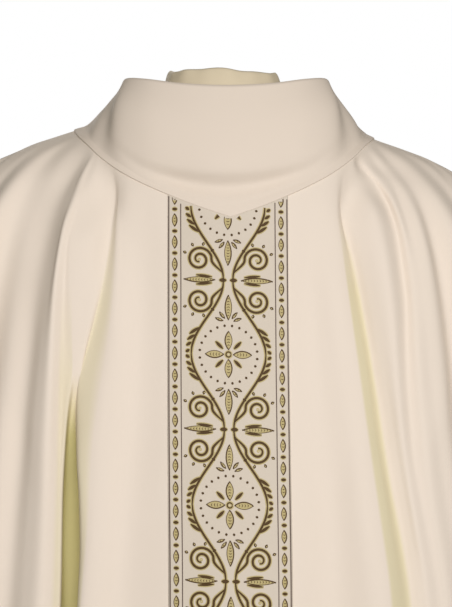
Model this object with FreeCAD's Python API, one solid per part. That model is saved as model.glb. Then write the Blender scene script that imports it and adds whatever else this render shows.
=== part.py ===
"""A gothic chasuble with a cowl collar, as it hangs on the wearer's shoulders.

Millimetres, +Z up, the front faces -Y and the wearer's left hand is at +X.
The origin is the centre of the neck at the level where the collar lies on the shoulders.
Every cloth piece is a thin closed solid: a draped surface with an inner and an outer face.
The drape is given by fold lines: each runs from the collar seam down to the hem, and
the cloth passes through all of them in turn.
"""
import FreeCAD, Part
import math
import os

# ---- driving dimensions ----
CLOTH = 1.2            # thickness of the main cloth
FACING = 0.8           # thickness of lining, hem facing and tape
ORPHREY_THICK = 1.0    # thickness of the woven band
LAYER_GAP = 0.4        # air between two layers that are sewn together
SEAM_GAP = 1.0         # distance of each edge from the seam that joins front and back
BAND_HALF = 65.0       # half the width of the orphrey band
HEM_WIDTH = 22.0       # width of the facing turned in along the hem
TAPE_HALF = 6.0        # half the width of the shoulder seam tape
COWL_GAP = 9.0         # widest gap between the cowl's outer cloth and its facing
NECKBAND_TOP_R = 62.0  # radius of the neckband's upper edge
NECKBAND_BASE_R = 73.0
NECKBAND_TOP_Z = 24.0
NECKBAND_BASE_Z = -16.0
NECKBAND_DIP = 3.0     # how far its upper edge dips at the front and rises at the back
NECK_X = -3.0          # the neckband's centre stands this far off the middle
YOKE_INSET = 0.965     # the yoke's outer edge, as a share of the collar seam's distance
YOKE_SAG = 8.0         # how far the yoke hangs below a straight line

# ---- the collar seam, from the centre to the shoulder, for x >= 0 ----
FRONT_SEAM = [(0, -150, -151), (40, -146, -137), (82, -137, -119), (112, -124, -103),
              (140, -101, -83), (156, -75, -67), (168, -44, -56), (175, 0, -48)]
BACK_SEAM = [(0, 118, -92), (38, 116, -88), (74, 108, -80), (105, 94, -71),
             (130, 75, -62), (150, 52, -55), (166, 28, -50), (175, 0, -48)]
SHOULDER = 7           # seam position of the shoulder point; 0 is the centre
SEAM_SHIFT = (5.0, -2.2)   # the whole seam sits askew: shift of x at the centre and shoulder
LEAN = 0.028           # the garment hangs this much lower per millimetre towards +X

# Shoulder seam: from the collar over the shoulder and down the arm to the side point.
SHOULDER_LINE = [(-68, 232), (-87, 270), (-118, 305), (-165, 335), (-230, 360),
                 (-320, 385), (-410, 403), (-500, 415)]

# ---- fold lines: (seam position, [(z, x, y), ...]) from the centre to the shoulder ----
# The first point of each is the seam itself. x is positive towards the line's own side.
FRONT_LEFT = [
    ("panel hollow", 2.1, [(-180, 88, -141), (-260, 91, -149), (-380, 98, -160),
                           (-554, 110, -172), (-850, 118, -185), (-1188, 123, -196)]),
    ("panel swell", 2.8, [(-150, 110, -133), (-230, 113, -148), (-340, 120, -162),
                          (-430, 129, -171), (-554, 140, -182), (-850, 157, -195),
                          (-1186, 165, -206)]),
    ("panel edge", 3.15, [(-125, 117, -122), (-163, 119, -133), (-205, 120, -143),
                          (-245, 122, -150), (-290, 127, -155), (-350, 136, -162),
                          (-415, 145, -168), (-485, 150, -174), (-554, 156, -179),
                          (-850, 174, -192), (-1185, 184, -203)]),
    ("side of the panel", 3.3, [(-125, 119, -119), (-163, 123, -128), (-205, 129, -136),
                                (-245, 137, -142), (-290, 149, -144), (-320, 157, -146),
                                (-350, 160, -149), (-415, 160, -159), (-458, 157, -165),
                                (-512, 156, -170), (-554, 158, -172), (-850, 176, -184),
                                (-1185, 186, -194)]),
    ("facet, then the valley's near side", 3.5, [
        (-125, 122, -115), (-170, 128, -128), (-205, 134, -136), (-245, 142, -145),
        (-290, 152, -147), (-320, 158, -147), (-350, 162, -144), (-371, 164, -138),
        (-415, 163, -122), (-458, 161, -112), (-512, 160, -109), (-554, 160, -108),
        (-850, 178, -105), (-1185, 188, -105)]),
    ("facet, then the valley's far side", 3.75, [
        (-125, 134, -113), (-187, 150, -140), (-245, 155, -146), (-290, 160, -148),
        (-320, 163, -148), (-350, 167, -144), (-371, 170, -138), (-415, 175, -122),
        (-458, 178, -112), (-512, 180, -109), (-554, 180, -108), (-850, 198, -105),
        (-1185, 208, -105)]),
    ("valley rim", 4.1, [(-125, 152, -115), (-160, 163, -130), (-187, 170, -140),
                         (-245, 169, -146), (-290, 168, -148), (-320, 167, -148),
                         (-350, 171, -150), (-415, 176, -153), (-458, 178, -155),
                         (-554, 179, -157), (-850, 197, -162), (-1185, 207, -168)]),
    ("thin crease", 4.25, [(-110, 155, -107), (-130, 160, -118), (-150, 165, -126),
                           (-187, 174, -139),
                           (-245, 177, -144), (-306, 178, -147),
                           (-367, 179, -149), (-450, 181, -155), (-554, 183, -159),
                           (-850, 203, -165), (-1185, 213, -172)]),
    ("tube crest", 4.4, [(-108, 160, -105), (-136, 168, -121), (-170, 178, -137),
                         (-241, 187, -150), (-306, 190, -155), (-457, 196, -162),
                         (-554, 200, -165), (-850, 222, -169), (-1183, 233, -175)]),
    ("tube edge", 4.55, [(-111, 166, -98), (-136, 174, -113), (-166, 181, -127),
                         (-241, 194, -139), (-306, 201, -145), (-421, 210, -150),
                         (-554, 218, -153), (-850, 242, -156), (-1182, 254, -161)]),
    ("shoulder valley", 4.8, [(-111, 175, -87), (-140, 189, -97), (-180, 199, -107),
                              (-230, 208, -117), (-300, 215, -124), (-450, 228, -133),
                              (-554, 236, -137), (-850, 260, -134), (-1180, 272, -132)]),
    ("shoulder swell", 5.4, [(-85, 182, -70), (-110, 197, -79), (-145, 213, -89),
                             (-200, 226, -102), (-300, 240, -117), (-420, 253, -128),
                             (-554, 266, -134), (-850, 294, -132), (-1174, 305, -129)]),
    ("arm valley", 5.9, [(-80, 195, -54), (-115, 219, -74), (-170, 240, -88), (-250, 258, -95),
                         (-370, 275, -95), (-554, 298, -88), (-850, 322, -78),
                         (-1155, 332, -72)]),
    ("arm crest", 6.25, [(-78, 208, -48), (-115, 240, -74), (-170, 268, -94), (-250, 292, -108),
                         (-370, 312, -116), (-554, 338, -114), (-850, 366, -104),
                         (-1115, 374, -98)]),
    ("cuff valley", 6.55, [(-76, 220, -34), (-115, 256, -52), (-170, 286, -66),
                           (-250, 312, -74), (-370, 334, -74), (-554, 360, -66),
                           (-820, 382, -54), (-1050, 388, -46)]),
    ("cuff crest", 6.8, [(-74, 228, -24), (-110, 264, -42), (-160, 298, -58),
                         (-240, 330, -71), (-350, 356, -77), (-500, 380, -74),
                         (-720, 402, -64), (-930, 408, -56)]),
    ("side edge", 6.93, [(-71, 231, -11), (-98, 270, -22), (-140, 304, -32),
                         (-210, 342, -40), (-310, 374, -42), (-430, 396, -38),
                         (-560, 408, -31), (-730, 415, -24)]),
]
FRONT_RIGHT = [
    ("panel hollow", 2.1, [(-180, 88, -142), (-260, 93, -150), (-380, 104, -162),
                           (-554, 119, -174), (-850, 128, -187), (-1188, 132, -196)]),
    ("panel swell", 2.8, [(-150, 110, -134), (-230, 117, -150), (-340, 130, -163),
                          (-425, 141, -173), (-554, 157, -185), (-850, 170, -197),
                          (-1186, 175, -207)]),
    ("panel edge", 3.25, [(-135, 121, -126), (-182, 126, -137), (-244, 134, -148),
                          (-298, 141, -156), (-385, 152, -166), (-466, 163, -174),
                          (-552, 174, -182), (-850, 190, -194), (-1185, 197, -203)]),
    ("side of the panel", 3.4, [(-135, 124, -122), (-182, 131, -132), (-244, 140, -143),
                                (-298, 149, -150), (-385, 160, -160), (-466, 172, -168),
                                (-552, 184, -175), (-850, 201, -186), (-1185, 208, -195)]),
    ("foot of the side", 3.55, [(-135, 126, -118), (-196, 139, -128), (-262, 151, -137),
                                (-340, 163, -146), (-425, 175, -154), (-511, 191, -160),
                                (-554, 197, -164), (-850, 215, -176), (-1185, 223, -184)]),
    ("near swell", 3.7, [(-120, 134, -110), (-160, 141, -126), (-210, 150, -137),
                         (-260, 158, -145), (-340, 170, -153), (-425, 183, -160),
                         (-511, 199, -165), (-554, 205, -168), (-850, 223, -178),
                         (-1184, 231, -186)]),
    ("swell middle", 3.95, [(-105, 148, -99), (-140, 164, -122), (-210, 176, -141),
                            (-260, 183, -148), (-340, 189, -155), (-425, 198, -161),
                            (-554, 217, -167), (-850, 240, -169), (-1183, 248, -172)]),
    ("near crease", 4.2, [(-86, 147, -89), (-96, 159, -85), (-118, 174, -92),
                          (-138, 183, -102), (-159, 188, -111), (-199, 193, -122),
                          (-243, 197, -132), (-286, 199, -140), (-346, 202, -148),
                          (-410, 208, -155), (-554, 229, -161), (-850, 256, -160),
                          (-1181, 264, -157)]),
    ("far swell", 4.5, [(-84, 156, -84), (-100, 170, -86), (-118, 182, -97),
                        (-138, 190, -108), (-159, 196, -117), (-199, 202, -128),
                        (-243, 206, -137), (-286, 208, -145), (-346, 212, -151),
                        (-410, 218, -155), (-554, 240, -159), (-850, 269, -155),
                        (-1180, 278, -151)]),
    ("soft valley", 4.85, [(-85, 170, -73), (-107, 187, -85), (-138, 198, -102),
                           (-170, 206, -114), (-210, 213, -125), (-290, 220, -136),
                           (-385, 229, -144), (-470, 241, -147), (-554, 254, -149),
                           (-850, 284, -142), (-1178, 293, -138)]),
    ("outer swell", 5.25, [(-84, 180, -68), (-110, 198, -86), (-150, 214, -107),
                           (-200, 225, -121), (-290, 235, -132), (-385, 244, -138),
                           (-470, 255, -140), (-554, 269, -139), (-850, 300, -130),
                           (-1172, 309, -126)]),
    ("arm valley", 5.8, [(-82, 190, -58), (-115, 213, -79), (-170, 231, -96), (-250, 245, -106),
                         (-370, 260, -108), (-554, 288, -100), (-850, 320, -86),
                         (-1160, 330, -77)]),
    ("arm crest", 6.2, [(-78, 205, -50), (-115, 236, -76), (-170, 262, -96), (-250, 284, -110),
                        (-370, 303, -118), (-554, 330, -117), (-850, 362, -106),
                        (-1122, 370, -98)]),
    ("cuff valley", 6.55, [(-76, 219, -34), (-115, 254, -52), (-170, 284, -67),
                           (-250, 310, -75), (-370, 331, -76), (-554, 358, -68),
                           (-820, 381, -56), (-1052, 387, -47)]),
    ("cuff crest", 6.8, [(-74, 228, -24), (-110, 264, -42), (-160, 298, -58),
                         (-240, 330, -71), (-350, 356, -77), (-500, 380, -75),
                         (-720, 402, -65), (-932, 408, -56)]),
    ("side edge", 6.93, [(-71, 231, -11), (-98, 270, -22), (-140, 304, -32),
                         (-210, 342, -40), (-310, 374, -42), (-430, 396, -38),
                         (-560, 408, -31), (-730, 415, -24)]),
]
BACK_SIDE = [
    ("panel hollow", 2.3, [(-150, 92, 129), (-250, 98, 141), (-400, 106, 146),
                           (-600, 118, 150), (-850, 130, 156), (-1188, 138, 164)]),
    ("panel swell", 3.0, [(-140, 116, 121), (-220, 124, 139), (-330, 134, 152),
                          (-480, 150, 160), (-650, 168, 166), (-850, 184, 172),
                          (-1186, 196, 180)]),
    ("first valley", 3.6, [(-120, 130, 97), (-200, 142, 110), (-330, 157, 112),
                           (-480, 173, 106), (-650, 190, 98), (-850, 208, 92),
                           (-1184, 220, 90)]),
    ("second crest", 4.3, [(-110, 150, 84), (-180, 168, 108), (-280, 186, 126),
                           (-420, 206, 136), (-600, 228, 141), (-850, 256, 144),
                           (-1178, 268, 148)]),
    ("second valley", 5.0, [(-95, 172, 60), (-150, 194, 80), (-250, 217, 92),
                            (-400, 238, 92), (-600, 264, 84), (-850, 292, 76),
                            (-1168, 304, 72)]),
    ("third crest", 5.6, [(-85, 192, 44), (-130, 220, 72), (-220, 250, 98),
                          (-360, 276, 112), (-560, 306, 116), (-830, 338, 112),
                          (-1135, 350, 106)]),
    ("third valley", 6.2, [(-80, 208, 30), (-120, 242, 50), (-200, 276, 66),
                           (-340, 308, 74), (-540, 340, 70), (-800, 366, 60),
                           (-1070, 374, 54)]),
    ("cuff crest", 6.7, [(-76, 224, 20), (-112, 262, 36), (-180, 304, 54),
                         (-320, 346, 68), (-500, 376, 70), (-720, 400, 62),
                         (-950, 407, 54)]),
    ("side edge", 6.93, [(-71, 231, 9), (-98, 270, 19), (-150, 310, 28),
                         (-260, 358, 36), (-400, 388, 38), (-560, 407, 31),
                         (-735, 415, 24)]),
]
# Plumb lines of the flat centre panel: depth of the cloth at each height.
FRONT_CENTRE = [(-200, -154), (-300, -165), (-420, -179), (-554, -191), (-850, -206),
                (-1190, -216)]
BACK_CENTRE = [(-150, 134), (-250, 147), (-400, 154), (-600, 160), (-850, 168), (-1190, 176)]
CENTRE_DRIFT = [(-150, 2), (-350, 3), (-554, 5), (-850, 5.5), (-1190, 4)]
PLUMB = (0.0, 0.45 * BAND_HALF, 0.79 * BAND_HALF, BAND_HALF)

# ---- cowl collar: profiles from the seam up to the rolled edge, (seam position, points) ----
COWL_FRONT = [
    (0.0, [(0, -148, -135), (0, -142, -118), (0, -151, -100), (0, -143, -54), (0, -127, -5)]),
    (1.2, [(50, -142, -123), (50, -137, -111), (51, -144, -95), (51, -137, -48),
           (50, -120, -2)]),
    (2.2, [(89, -133, -107), (90, -131, -97), (91, -133, -83), (93, -123, -36),
           (89, -102, 5)]),
    (3.2, [(119, -117, -87), (121, -114, -75), (123, -110, -58), (122, -97, -24),
           (112, -74, 9)]),
    (4.1, [(139, -92, -72), (137, -86, -60), (134, -78, -44), (128, -62, -19),
           (119, -46, 6)]),
    (5.2, [(153, -66, -58), (150, -59, -48), (145, -50, -34), (134, -38, -15),
           (122, -24, 3)]),
    (7.0, [(163, 0, -41), (156, 0, -35), (147, 1, -25), (135, 3, -12), (123, 6, 2)]),
]
COWL_BACK = [
    (0.0, [(0, 121, -73), (0, 122, -55), (0, 121, -30), (0, 114, 2), (0, 100, 24)]),
    (1.6, [(58, 116, -66), (58, 116, -50), (57, 113, -27), (53, 106, 2), (48, 94, 22)]),
    (3.2, [(103, 95, -56), (101, 92, -42), (96, 88, -23), (88, 82, 0), (80, 73, 18)]),
    (4.8, [(139, 61, -50), (134, 59, -39), (126, 57, -23), (114, 52, -3), (103, 46, 11)]),
    (6.2, [(160, 23, -44), (153, 23, -36), (144, 23, -25), (131, 22, -9), (119, 22, 4)]),
    (7.0, [(163, 0, -41), (156, 0, -35), (147, 1, -25), (135, 3, -12), (123, 6, 2)]),
]


# ---------------------------------------------------------------- curves
def slopes(s, values):
    """Slopes for a curve through the values that never overshoots them."""
    n = len(s)
    d = [(values[i + 1] - values[i]) / (s[i + 1] - s[i]) for i in range(n - 1)]
    m = [d[0]] + [0.0] * (n - 2) + [d[-1]]
    for i in range(1, n - 1):
        if d[i - 1] * d[i] > 0:
            a = 2 * (s[i + 1] - s[i]) + (s[i] - s[i - 1])
            b = (s[i + 1] - s[i]) + 2 * (s[i] - s[i - 1])
            m[i] = (a + b) / (a / d[i - 1] + b / d[i])
    return m


def curve(s, values, at):
    """The value at one place on a smooth curve through (s, values)."""
    m = slopes(s, values)
    at = min(max(at, s[0]), s[-1])
    i = max(k for k in range(len(s) - 1) if s[k] <= at)
    h = s[i + 1] - s[i]
    t = (at - s[i]) / h
    return ((1 + 2 * t) * (1 - t) ** 2 * values[i] + t * (1 - t) ** 2 * h * m[i]
            + t * t * (3 - 2 * t) * values[i + 1] + t * t * (t - 1) * h * m[i + 1])


def through(points, u):
    """A point on the smooth line through a list of points, at index u."""
    i = min(max(int(u), 0), len(points) - 2)
    t = u - i
    p1, p2 = points[i], points[i + 1]
    p0 = points[i - 1] if i > 0 else p1 * 2 - p2
    p3 = points[i + 2] if i + 2 < len(points) else p2 * 2 - p1
    gaps = [max(math.sqrt((b - a).Length), 0.5) for a, b in ((p0, p1), (p1, p2), (p2, p3))]
    m1 = ((p1 - p0) / gaps[0] - (p2 - p0) / (gaps[0] + gaps[1]) + (p2 - p1) / gaps[1]) * gaps[1]
    m2 = ((p2 - p1) / gaps[1] - (p3 - p1) / (gaps[1] + gaps[2]) + (p3 - p2) / gaps[2]) * gaps[1]
    return (p1 * ((1 + 2 * t) * (1 - t) ** 2) + m1 * (t * (1 - t) ** 2)
            + p2 * (t * t * (3 - 2 * t)) + m2 * (t * t * (t - 1)))


def vectors(points, side=1):
    return [FreeCAD.Vector(side * x, y, z) for x, y, z in points]


def levelled(position, x, z):
    """The height that a point of the collar needs so that LEAN leaves it level. The lean
    comes in only near the shoulders."""
    return z + LEAN * x * (1 - (position / SHOULDER) ** 5)


def seam_point(seam, position, side):
    """A point of the collar seam; position 0 is the centre and SHOULDER the shoulder."""
    p = through(vectors(seam), position)
    centre, shoulder = SEAM_SHIFT
    x = side * p.x + centre + (shoulder - centre) * position / SHOULDER
    return FreeCAD.Vector(x, p.y, levelled(position, x - centre, p.z))


# ---------------------------------------------------------------- the draped body
def fold_line(start, knots, side):
    """A function that gives the fold line's point at a share of its drop."""
    s = [-start.z] + [-z for z, x, y in knots]
    xs = [start.x] + [side * x for z, x, y in knots]
    ys = [start.y] + [y for z, x, y in knots]

    def at(v):
        drop = s[0] + (s[-1] - s[0]) * v ** 1.25
        return FreeCAD.Vector(curve(s, xs, drop), curve(s, ys, drop), -drop)
    return at


def plumb_line(seam, centre, x):
    """A vertical line of the centre panel, x to the side of the centre."""
    side = 1 if x >= SEAM_SHIFT[0] else -1
    xs = [side * seam_point(seam, t, side).x for t in range(4)]
    position = curve(xs, [0.0, 1.0, 2.0, 3.0], side * x)
    start = seam_point(seam, position, side)
    drift = [-z for z, d in CENTRE_DRIFT], [d for z, d in CENTRE_DRIFT]
    # the panel is a little rounder than flat towards its edges
    ease = 0.0012 * x * x * (-1 if centre[0][1] > 0 else 1)
    knots = [(z, x + curve(*drift, -z), y + ease) for z, y in centre]
    start.x = x + CENTRE_DRIFT[0][1]
    return fold_line(start, knots, 1)


def half_panel(seam, folds, side, edge_y):
    lines = [fold_line(seam_point(seam, t, side), knots, side) for name, t, knots in folds]
    shoulder = seam_point(seam, SHOULDER, side)
    shoulder.y = edge_y
    knots = [(z, x, edge_y) for z, x in SHOULDER_LINE]
    return lines + [fold_line(shoulder, knots, side)]


def panel_lines(seam, centre, left, right, edge_y):
    """All fold lines of a panel, from its -X side to its +X side."""
    plumbs = [-x for x in reversed(PLUMB[1:])] + list(PLUMB)
    middle = [plumb_line(seam, centre, x) for x in plumbs]
    return (list(reversed(half_panel(seam, left, -1, edge_y))) + middle
            + half_panel(seam, right, 1, edge_y))


def cloth_point(lines, u, v):
    return through([line(v) for line in near(lines, u)], u - first_near(lines, u))


def first_near(lines, u):
    return min(max(int(u) - 1, 0), max(len(lines) - 4, 0))


def near(lines, u):
    k = first_near(lines, u)
    return lines[k:k + 4]


def steps(a, b, n):
    return [a + (b - a) * k / n for k in range(n + 1)]


def cloth_grid(lines, us, top, n):
    """Rows of points from top(u), a share of the drop, down to the hem."""
    columns = [[cloth_point(lines, u, top(u) + (1 - top(u)) * k / n) for k in range(n + 1)]
               for u in us]
    return [[c[k] for c in columns] for k in range(n + 1)]


# ---------------------------------------------------------------- thin solids
def normals(grid, towards):
    """Unit normals of a grid, turned so that most of them point towards a direction."""
    rows, cols = len(grid), len(grid[0])
    found = []
    for i in range(rows):
        found.append([])
        for j in range(cols):
            du = grid[i][min(j + 1, cols - 1)] - grid[i][max(j - 1, 0)]
            dv = grid[min(i + 1, rows - 1)][j] - grid[max(i - 1, 0)][j]
            n = du.cross(dv)
            n.normalize()
            found[-1].append(n)
    same = sum(n.dot(towards) for row in found for n in row) > 0
    return [[n if same else n * -1 for n in row] for row in found]


def offset(grid, towards, distance):
    n = normals(grid, towards)
    return [[p + n[i][j] * distance(i / (len(grid) - 1)) for j, p in enumerate(row)]
            for i, row in enumerate(grid)]


def face(grid):
    surface = Part.BSplineSurface()
    surface.interpolate(grid)
    return surface


def side_faces(a, b):
    """The four narrow faces between two faces that have the same outline."""
    u0, u1, v0, v1 = a.bounds()
    made = []
    for cut in ("u0", "u1", "v0", "v1"):
        value = {"u0": u0, "u1": u1, "v0": v0, "v1": v1}[cut]
        edges = [(s.uIso(value) if cut[0] == "u" else s.vIso(value)).toShape() for s in (a, b)]
        made.append(Part.makeRuledSurface(*edges))
    return made


def leaning(grid):
    return [[FreeCAD.Vector(p.x, p.y, p.z - LEAN * p.x) for p in row] for row in grid]


def thin_solid(grid, towards, low, high):
    """A solid between two offsets of a grid: low and high are distances along the normal,
    each a number or a function of the share of the way down the grid."""
    grid = leaning(grid)
    low, high = [(f if callable(f) else (lambda v, f=f: f)) for f in (low, high)]
    inner = face(offset(grid, towards, low))
    outer = face(offset(grid, towards, high))
    shell = Part.makeShell([inner.toShape(), outer.toShape()] + side_faces(inner, outer))
    shell.sewShape()
    solid = Part.makeSolid(shell)
    if solid.Volume < 0:
        solid.reverse()
    return solid


def export(name, shape):
    solids = shape.Solids
    ok = shape.isValid() and solids and all(s.isClosed() for s in solids)
    area = max(f.Area for f in shape.Faces)
    print(f"{name:28s} valid {ok} volume {shape.Volume / 1000:8.1f} cm3 "
          f"largest face {area / 1e6:6.3f} m2")
    shape.exportStep(f"parts/{name}.step")


# ---------------------------------------------------------------- the pieces
def body_pieces(name, lines, towards):
    """The panel, its hem facing and its orphrey band."""
    last = len(lines) - 1
    us = steps(0, last, 3 * last)
    export(name + "_panel", thin_solid(cloth_grid(lines, us, lambda u: 0.004, 40), towards,
                                       -CLOTH / 2, CLOTH / 2))

    def hem_top(u):
        # the shortest lines are at the sides, so their facing takes a larger share
        drop = cloth_point(lines, u, 0.0).z - cloth_point(lines, u, 1.0).z
        return 1 - HEM_WIDTH / drop / 1.25
    inside = -CLOTH / 2 - LAYER_GAP
    export(name + "_hem_facing", thin_solid(cloth_grid(lines, us, hem_top, 4), towards,
                                            inside - FACING, inside))
    centre = next(k for k in range(len(lines)) if abs(lines[k](0.5).x) < 20)
    side = len(PLUMB) - 1
    band_us = steps(centre - side, centre + side, 6 * side)
    outside = CLOTH / 2 + LAYER_GAP
    export(name + "_orphrey", thin_solid(cloth_grid(lines, band_us, lambda u: 0.008, 40),
                                         towards, outside, outside + ORPHREY_THICK))


def cowl_rows(seam, profiles, vs, edge_y):
    """The cowl's surface from its seam, v = 0, to its rolled edge, v = 5."""
    both = [(-t, pts) for t, pts in reversed(profiles[1:])] + profiles
    columns = []
    for u in steps(0, len(both) - 1, 4 * (len(both) - 1)):
        k = min(int(u), len(both) - 2)
        position = both[k][0] + (both[k + 1][0] - both[k][0]) * (u - k)
        start = seam_point(seam, abs(position), 1 if position >= 0 else -1)
        profile = [start] + [through([cowl_point(t, pts[n]) for t, pts in both], u)
                             for n in range(len(both[0][1]))]
        if u in (0, len(both) - 1):
            profile = [FreeCAD.Vector(p.x, edge_y, p.z) for p in profile]
        columns.append([through(profile, v) for v in vs])
    return [[c[k] for c in columns] for k in range(len(vs))]


def cowl_point(position, point):
    x, y, z = point
    x = x if position > 0 else -x
    return FreeCAD.Vector(x, y, levelled(abs(position), x, z))


def cowl_pieces(name, seam, profiles, towards, edge_y):
    """The cowl's outer cloth, its interlining and its facing."""
    rows = cowl_rows(seam, profiles, steps(0.08, 5, 20), edge_y)

    def gap(v):
        return COWL_GAP * math.sin(math.pi * min(max(v, 0.0), 1.0)) ** 0.8
    middle = -CLOTH / 2 - LAYER_GAP
    inside = middle - FACING - LAYER_GAP
    export("collar_" + name, thin_solid(rows, towards, -CLOTH / 2, CLOTH / 2))
    export("collar_" + name + "_interlining", thin_solid(
        rows[1:-1], towards, lambda v: middle - FACING - 0.3 * gap(v),
        lambda v: middle - 0.3 * gap(v)))
    export("collar_" + name + "_facing", thin_solid(
        rows, towards, lambda v: inside - CLOTH - gap(v), lambda v: inside - gap(v)))


def ring_point(angle, radius, z):
    return FreeCAD.Vector(NECK_X + radius * math.sin(angle), -radius * math.cos(angle), z)


def neckband():
    """A soft band that stands round the neck, closed by a seam at the back."""
    half_turn = math.pi - 0.01
    rows = []
    for v in steps(0, 1, 8):
        radius = NECKBAND_TOP_R + (NECKBAND_BASE_R - NECKBAND_TOP_R) * v ** 0.6
        z = NECKBAND_TOP_Z + (NECKBAND_BASE_Z - NECKBAND_TOP_Z) * v
        rows.append([ring_point(a, radius, z - NECKBAND_DIP * (1 - v) * math.cos(a))
                     for a in steps(-half_turn, half_turn, 48)])
    export("neckband", thin_solid(rows, FRONT, -CLOTH / 2, CLOTH / 2))


def yoke(name, seam, facing_back, edge_y):
    """The cloth under one half of the cowl, from the neckband out to the collar seam."""
    columns = []
    for t in steps(-SHOULDER, SHOULDER, 28):
        edge = seam_point(seam, abs(t), 1 if t >= 0 else -1)
        edge = FreeCAD.Vector(edge.x * YOKE_INSET, edge.y * YOKE_INSET, edge.z - 4)
        angle = t / SHOULDER * math.pi / 2
        top = ring_point(math.pi - angle if facing_back else angle, NECKBAND_BASE_R + 3,
                         NECKBAND_BASE_Z - 2)
        if abs(t) == SHOULDER:
            top.y = edge.y = edge_y
        columns.append([top * (1 - v) + edge * v
                        - FreeCAD.Vector(0, 0, YOKE_SAG * math.sin(math.pi * v))
                        for v in steps(0, 1, 8)])
    rows = [[c[k] for c in columns] for k in range(9)]
    export(name + "_yoke", thin_solid(rows, FreeCAD.Vector(0, 0, 1), -FACING / 2, FACING / 2))


def shoulder_tapes():
    """A straight tape under each shoulder seam, which keeps it from stretching."""
    for name, side in (("left", 1), ("right", -1)):
        start = seam_point(FRONT_SEAM, SHOULDER, side)
        line = fold_line(FreeCAD.Vector(start.x, 0, start.z),
                         [(z, x, 0) for z, x in SHOULDER_LINE], side)
        rows = []
        for y in (-TAPE_HALF, -TAPE_HALF / 2, 0, TAPE_HALF / 2, TAPE_HALF):
            rows.append([])
            for v in steps(0.02, 0.98, 24):
                along = line(v + 0.01) - line(v - 0.01)
                inward = FreeCAD.Vector(along.z, 0, -along.x) * side
                inward.normalize()
                sink = CLOTH + FACING + 0.05 * y * y
                rows[-1].append(line(v) + FreeCAD.Vector(0, y, 0) + inward * sink)
        export(name + "_shoulder_tape", thin_solid(rows, FreeCAD.Vector(side, 0, 0),
                                                   -FACING / 2, FACING / 2))


FRONT = FreeCAD.Vector(0, -1, 0)
BACK = FreeCAD.Vector(0, 1, 0)
os.makedirs("parts", exist_ok=True)
front_lines = panel_lines(FRONT_SEAM, FRONT_CENTRE, FRONT_LEFT, FRONT_RIGHT, -SEAM_GAP)
back_lines = panel_lines(BACK_SEAM, BACK_CENTRE, BACK_SIDE, BACK_SIDE, SEAM_GAP)
body_pieces("front", front_lines, FRONT)
body_pieces("back", back_lines, BACK)
cowl_pieces("front", FRONT_SEAM, COWL_FRONT, FRONT, -SEAM_GAP)
cowl_pieces("back", BACK_SEAM, COWL_BACK, BACK, SEAM_GAP)
neckband()
yoke("front", FRONT_SEAM, False, -SEAM_GAP)
yoke("back", BACK_SEAM, True, SEAM_GAP)
shoulder_tapes()
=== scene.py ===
"""A gothic chasuble with a cowl collar, draped as it is worn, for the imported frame.

Metres, +Z up, the front faces -Y. The cloth follows the same fold lines as the solids:
each runs from the collar seam down to the hem, and the surface passes through all of them.
"""
import math
import bpy
import numpy as np
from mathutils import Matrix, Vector


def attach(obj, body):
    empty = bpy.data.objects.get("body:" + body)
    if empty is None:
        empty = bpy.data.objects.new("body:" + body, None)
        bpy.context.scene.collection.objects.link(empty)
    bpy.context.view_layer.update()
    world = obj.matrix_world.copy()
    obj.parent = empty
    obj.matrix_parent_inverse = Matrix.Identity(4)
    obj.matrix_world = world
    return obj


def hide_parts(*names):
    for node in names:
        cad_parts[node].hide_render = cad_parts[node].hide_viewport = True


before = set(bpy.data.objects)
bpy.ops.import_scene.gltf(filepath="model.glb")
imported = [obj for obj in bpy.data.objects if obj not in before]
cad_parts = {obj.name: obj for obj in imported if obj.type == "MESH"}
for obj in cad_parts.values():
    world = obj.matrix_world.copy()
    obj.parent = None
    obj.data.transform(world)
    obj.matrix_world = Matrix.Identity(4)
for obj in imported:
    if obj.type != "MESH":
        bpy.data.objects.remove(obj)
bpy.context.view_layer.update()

MM = 0.001

# ---- cloth ----
CLOTH = 1.2
FACING = 0.8
ORPHREY_THICK = 1.0
LAYER_GAP = 0.4
SEAM_GAP = 1.0
BAND_HALF = 65.0
HEM_WIDTH = 22.0
TAPE_HALF = 6.0
COWL_GAP = 9.0
EDGE_LIFT = 1.6
NECKBAND_TOP_R, NECKBAND_TOP_Z = 62.0, 24.0
NECKBAND_BASE_R, NECKBAND_BASE_Z = 73.0, -16.0
NECK_X = -3.0
YOKE_INSET, YOKE_SAG = 0.965, 8.0

# ---- the collar seam, from the centre to the shoulder, for x >= 0 ----
FRONT_SEAM = [(0, -150, -151), (40, -146, -137), (82, -137, -119), (112, -124, -103),
              (140, -101, -83), (156, -75, -67), (168, -44, -56), (175, 0, -48)]
BACK_SEAM = [(0, 118, -92), (38, 116, -88), (74, 108, -80), (105, 94, -71),
             (130, 75, -62), (150, 52, -55), (166, 28, -50), (175, 0, -48)]
SHOULDER = 7           # seam position of the shoulder point; 0 is the centre
SEAM_SHIFT = (5.0, -2.2)   # the whole seam sits askew: shift of x at the centre and shoulder
LEAN = 0.028           # the garment hangs this much lower per millimetre towards +X

# Shoulder seam: from the collar over the shoulder and down the arm to the side point.
SHOULDER_LINE = [(-68, 232), (-87, 270), (-118, 305), (-165, 335), (-230, 360),
                 (-320, 385), (-410, 403), (-500, 415)]

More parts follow.
